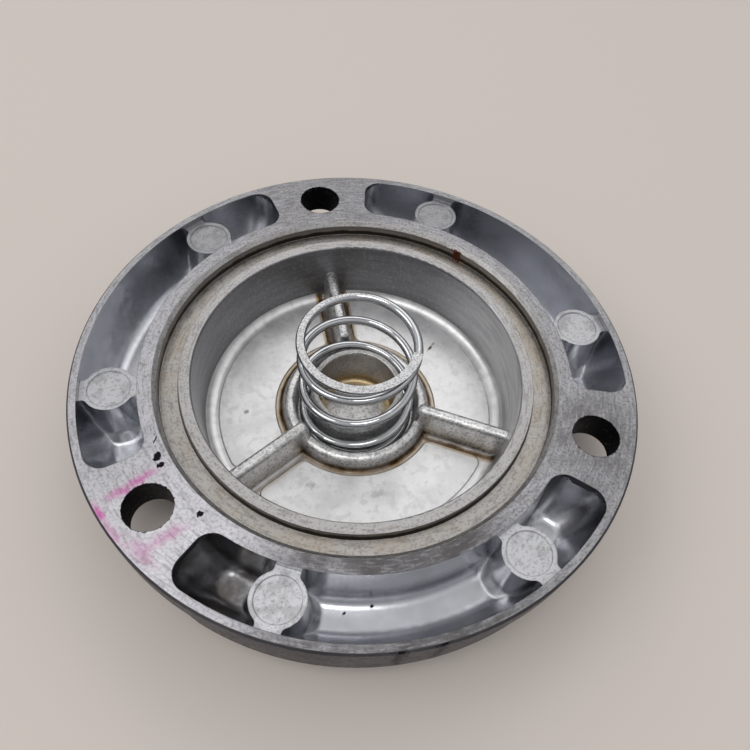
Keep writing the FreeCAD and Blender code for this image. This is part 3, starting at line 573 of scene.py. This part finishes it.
def cover_zone(face):
    """Which finish a face of the casting has, from its place and direction."""
    x, y, z = (value / MM for value in face.center)
    up = face.normal.z
    level = up > 0.9
    radius = math.hypot(x, y)
    if level and abs(z) < NEAR_FLAT and radius > LAND_EDGE - 0.1:
        return "face"
    # Steep faces round a bolt's axis are the wall of its hole.
    if abs(up) < 0.5 and any(math.hypot(x - bx, y - by) < BOLT_HOLE + 0.15 for bx, by in BOLT_PLACES):
        return "bore"
    # All that faces down is outside, and so is the outer edge.
    if up < -0.015 or radius > OUTSIDE:
        return "outside"
    if level and abs(z - RIM_TOP) < NEAR_FLAT and RIM_INNER < radius < RIM_FOOT:
        return "rim"
    # The bevel into the seal groove is turned like the rim.
    if RIM_FOOT - 0.5 < radius < LAND_EDGE + 0.05 and z > GROOVE_FLOOR - 0.1:
        if z > BEVEL_FOOT - 0.02:
            return "rim"
        return "groove" if up > 0.8 else "groove wall"
    if level and radius > PILLAR_INSIDE and PIN_MARK - NEAR_FLAT < z < PILLAR_TOP + NEAR_FLAT:
        return "pillar"
    if level and abs(z - TUBE_TOP) < NEAR_FLAT and radius < TUBE:
        return "rim"
    if up > 0.6 and abs(z - BOWL_FLOOR) < 0.2 and BEAD_FOOT < radius < RIM_INNER:
        return "floor"
    # The lower half of the round between floor and wall is as bright as the floor.
    across = beside_rib(x, y)
    if up > 0.4 and z < BOWL_FLOOR + 2 and BEAD_FOOT + 4 < radius < RIM_INNER and across > RIB_FOOT + 0.6:
        return "floor"
    if radius > LAND_EDGE:
        return "pocket"
    if radius < BEAD_FOOT + 0.1 or (across < RIB_FOOT and radius < RIM_INNER - 0.9):
        return "core"
    return "bowl"


def colour_setting(name, description, value):
    """A colour that a user can change, from its sRGB hex value."""
    return bpy.props.FloatVectorProperty(name=name, description=description, subtype="COLOR", size=4,
                                         min=0.0, max=1.0, default=linear(value))


class CastingLook(bpy.types.PropertyGroup):
    """Colours of the casting"""
    cast_colour: colour_setting("Pockets", "Smooth cast skin of the pockets", "#cbccd0")
    # Painted shade on the outer walls of the pockets.
    pocket_wall_shade: colour_setting("Pocket walls", "Darker outer walls of the pockets", "#8a8b91")
    bowl_colour: colour_setting("Bowl wall", "Cast skin of the bowl's wall", "#8b8b8e")
    # Painted light on the near right of the bowl's wall.
    bowl_painted_light: colour_setting("Bowl wall, painted light", "Paler part of the bowl's wall", "#c4c4c5")
    core_colour: colour_setting("Ribs and bead", "Grainy skin of ribs and bead", "#e4e3e1")
    cast_light: colour_setting("Cast skin, light", "Pale clouds in the cast skin", "#c6c7c8")
    cast_dark: colour_setting("Cast skin, dark", "Pits and clouds in the cast skin", "#6a6a6c")
    outer_colour: colour_setting("Outside", "Darker outer skin", "#616064")
    face_colour: colour_setting("Joint face", "Milled face", "#a5a4a6")
    face_light: colour_setting("Joint face, worn", "Worn bright parts of the joint face", "#dcdade")
    face_dark: colour_setting("Joint face, dull", "Dull parts and pits of cut metal", "#5e5c5c")
    groove_colour: colour_setting("Groove", "Turned seal groove", "#b3afaa")
    rim_colour: colour_setting("Rim", "Grainy rim top", "#b6b4b2")
    straw_colour: colour_setting("Thin oil", "Thin dried oil", "#957840")
    oil_colour: colour_setting("Thick oil", "Old oil in corners", "#3f2a12")
    floor_colour: colour_setting("Bowl floor", "Bright floor of the bowl", "#e8e7e6")
    floor_shade: colour_setting("Bowl floor, scuffs", "Faint scuffs on the floor", "#c6c5c4")
    pillar_colour: colour_setting("Pillars", "Pin-marked tops of the pillars", "#cacacc")
    bore_colour: colour_setting("Bolt holes", "Oxidised bores", "#232325")
    ink_colour: colour_setting("Ink", "Marker ink at the left hand bolt", "#c0489c")


class SpringLook(bpy.types.PropertyGroup):
    """Colours of the spring"""
    wire_colour: colour_setting("Wire", "Zinc plating", "#dddedf")
    ground_colour: colour_setting("Ground end", "Flat ground face", "#cfcfce")


class StudioLook(bpy.types.PropertyGroup):
    """Floor, light of the room, and the camera fitted to the photo"""
    floor_colour: colour_setting("Floor", "Plain pale floor", "#d1c8c0")
    horizon_colour: colour_setting("Horizon", "Light of the room at the horizon", "#8a8a8e")
    overhead_colour: colour_setting("Overhead", "Light of the room overhead", "#dedee0")
    near_colour: colour_setting("Near side", "Dimmer light from the camera's side", "#5c5c60")
    floor_size: bpy.props.FloatProperty(name="Floor size", description="Side of the floor", default=6.0,
                                        unit="LENGTH")
    azimuth: bpy.props.FloatProperty(name="Azimuth", description="Camera direction round the cover",
                                     default=math.radians(-16.77), subtype="ANGLE", unit="ROTATION")
    elevation: bpy.props.FloatProperty(name="Elevation", description="Camera height above the horizon",
                                       default=math.radians(58.42), subtype="ANGLE", unit="ROTATION")
    roll: bpy.props.FloatProperty(name="Roll", description="Camera tilt about its own axis",
                                  default=math.radians(6.19), subtype="ANGLE", unit="ROTATION")
    distance: bpy.props.FloatProperty(name="Distance", description="Camera to the joint face's centre",
                                      default=0.0955, unit="LENGTH")
    aside: bpy.props.FloatProperty(name="Aside", description="Camera offset to its right", default=0.002314,
                                   unit="LENGTH")
    above: bpy.props.FloatProperty(name="Above", description="Camera offset upward", default=-0.006917,
                                   unit="LENGTH")
    lens: bpy.props.FloatProperty(name="Lens", description="Focal length in mm on a 36 mm sensor",
                                  default=31.26)
    shift: bpy.props.FloatVectorProperty(name="Shift", description="Lens shift for the photo's framing",
                                         size=2, default=(0.00767, 0.04878))


class OBJECT_OT_cover_casting(bpy.types.Operator):
    """Shows the casting with its cast, milled, turned and drilled finishes"""
    bl_idname = "object.cover_casting"
    bl_label = "Casting"
    bl_options = {"REGISTER", "UNDO"}

    def execute(self, context):
        look = context.scene.casting_look
        piece = copy_of("cover", "cover_casting")
        finishes = {
            "bowl": cast_bowl_wall(look),
            "pocket": cast_pocket(look),
            "core": grainy_core(look),
            "outside": outer_skin(look),
            "face": milled_face(look),
            "groove": turned_ring(look, "turned_seal_groove", look.groove_colour, thin_oil=0.22, depth=0.04),
            "groove wall": shaded_groove_wall(look),
            "rim": turned_ring(look, "grainy_rim_top", look.rim_colour, thin_oil=0.05, depth=0.09),
            "floor": bowl_floor(look),
            "pillar": pillar_face(look),
            "bore": drilled_bore(look),
        }
        order = list(finishes)
        for name in order:
            piece.data.materials.append(finishes[name])
        for face in piece.data.polygons:
            face.material_index = order.index(cover_zone(face))
        return {"FINISHED"}


class OBJECT_OT_cover_spring(bpy.types.Operator):
    """Shows the spring with plated wire and ground ends"""
    bl_idname = "object.cover_spring"
    bl_label = "Spring"
    bl_options = {"REGISTER", "UNDO"}

    def execute(self, context):
        look = context.scene.spring_look
        piece = copy_of("spring", "filter_spring")
        piece.data.materials.append(zinc_wire(look))
        piece.data.materials.append(ground_end(look))
        for face in piece.data.polygons:
            off = min(SPRING_HIGH.z - face.center.z, face.center.z - SPRING_LOW.z)
            ground = abs(face.normal.z) > 0.98 and off < NEAR_FLAT * MM
            face.material_index = 1 if ground else 0
        return {"FINISHED"}


class OBJECT_OT_cover_studio(bpy.types.Operator):
    """Adds the plain floor, the soft lights and the camera"""
    bl_idname = "object.cover_studio"
    bl_label = "Studio"
    bl_options = {"REGISTER", "UNDO"}

    def execute(self, context):
        look = context.scene.studio_look
        bpy.ops.object.select_all(action="DESELECT")
        bpy.ops.mesh.primitive_plane_add(size=look.floor_size, location=(0, 0, COVER_LOW.z))
        floor = context.view_layer.objects.active
        floor.name = "studio_floor"
        bpy.ops.object.transform_apply(location=True, rotation=True, scale=True)
        paper = bpy.data.materials.new("matt_pale_board")
        paper.use_nodes = True
        shader = paper.node_tree.nodes["Principled BSDF"]
        shader.inputs["Base Color"].default_value = look.floor_colour
        shader.inputs["Roughness"].default_value = 0.8
        shader.inputs["Specular IOR Level"].default_value = 0.2
        floor.data.materials.append(paper)

        world = bpy.data.worlds.new("soft_room")
        context.scene.world = world
        world.use_nodes = True
        tree = world.node_tree
        tree.nodes.clear()
        # A pale room, brighter overhead than at the horizon, and dimmer on the near side.
        way = add(tree, "TexCoord").outputs["Generated"]
        rise = add(tree, "SeparateXYZ", {"Vector": way}).outputs["Z"]
        near = add(tree, "VectorMath", {0: way, 1: NEAR_SIDE}, operation="DOT_PRODUCT")
        tone = paint(tree, look.horizon_colour, look.overhead_colour, (rise, 0.62, 0.08))
        tone = paint(tree, tone, look.near_colour, (near, 0.98, 0.70), strength=0.3)
        background = add(tree, "Background", {"Color": tone, "Strength": 1.0})
        add(tree, "OutputWorld", {"Surface": background})

        for name, spot, size, power in LAMPS:
            bpy.ops.object.light_add(type="AREA", location=spot)
            lamp = context.view_layer.objects.active
            lamp.name = name
            lamp.data.shape = "DISK"
            lamp.data.size = size
            lamp.data.energy = power
            lamp.rotation_euler = (-Vector(spot)).to_track_quat("-Z", "Y").to_euler()

        turn = Matrix.Rotation(look.azimuth, 4, "Z") @ Matrix.Rotation(math.pi / 2 - look.elevation, 4, "X")
        spot = turn @ Vector((look.aside, look.above, look.distance))
        bpy.ops.object.camera_add(location=spot)
        camera = context.view_layer.objects.active
        camera.name = "photo_camera"
        camera.matrix_world = Matrix.Translation(spot) @ turn @ Matrix.Rotation(look.roll, 4, "Z")
        camera.data.lens = look.lens
        camera.data.sensor_width = 36.0
        camera.data.shift_x, camera.data.shift_y = look.shift
        camera.data.clip_start = 0.005
        context.scene.camera = camera
        context.scene.view_settings.view_transform = "Standard"
        return {"FINISHED"}


class VIEW3D_PT_filter_cover(bpy.types.Panel):
    """Lists the cover's pieces and their looks"""
    bl_idname = "VIEW3D_PT_filter_cover"
    bl_label = "Oil Filter Cover"
    bl_space_type = "VIEW_3D"
    bl_region_type = "UI"
    bl_category = "Filter Cover"

    def draw(self, context):
        layout = self.layout
        for operator in PIECES:
            layout.operator(operator.bl_idname)
        for group in (context.scene.casting_look, context.scene.spring_look, context.scene.studio_look):
            box = layout.box()
            for name in group.bl_rna.properties.keys():
                if name not in ("rna_type", "name"):
                    box.prop(group, name)


PIECES = (OBJECT_OT_cover_casting, OBJECT_OT_cover_spring, OBJECT_OT_cover_studio)
CLASSES = (CastingLook, SpringLook, StudioLook) + PIECES + (VIEW3D_PT_filter_cover,)


def register():
    """Registers the classes and their settings on the scene."""
    for item in CLASSES:
        bpy.utils.register_class(item)
    bpy.types.Scene.casting_look = bpy.props.PointerProperty(type=CastingLook)
    bpy.types.Scene.spring_look = bpy.props.PointerProperty(type=SpringLook)
    bpy.types.Scene.studio_look = bpy.props.PointerProperty(type=StudioLook)


def unregister():
    """Takes them away again."""
    del bpy.types.Scene.studio_look
    del bpy.types.Scene.spring_look
    del bpy.types.Scene.casting_look
    for item in reversed(CLASSES):
        bpy.utils.unregister_class(item)


def main():
    """Builds the pieces and the studio in order."""
    register()
    bpy.ops.object.cover_casting()
    bpy.ops.object.cover_spring()
    bpy.ops.object.cover_studio()


if __name__ == "__main__":
    main()
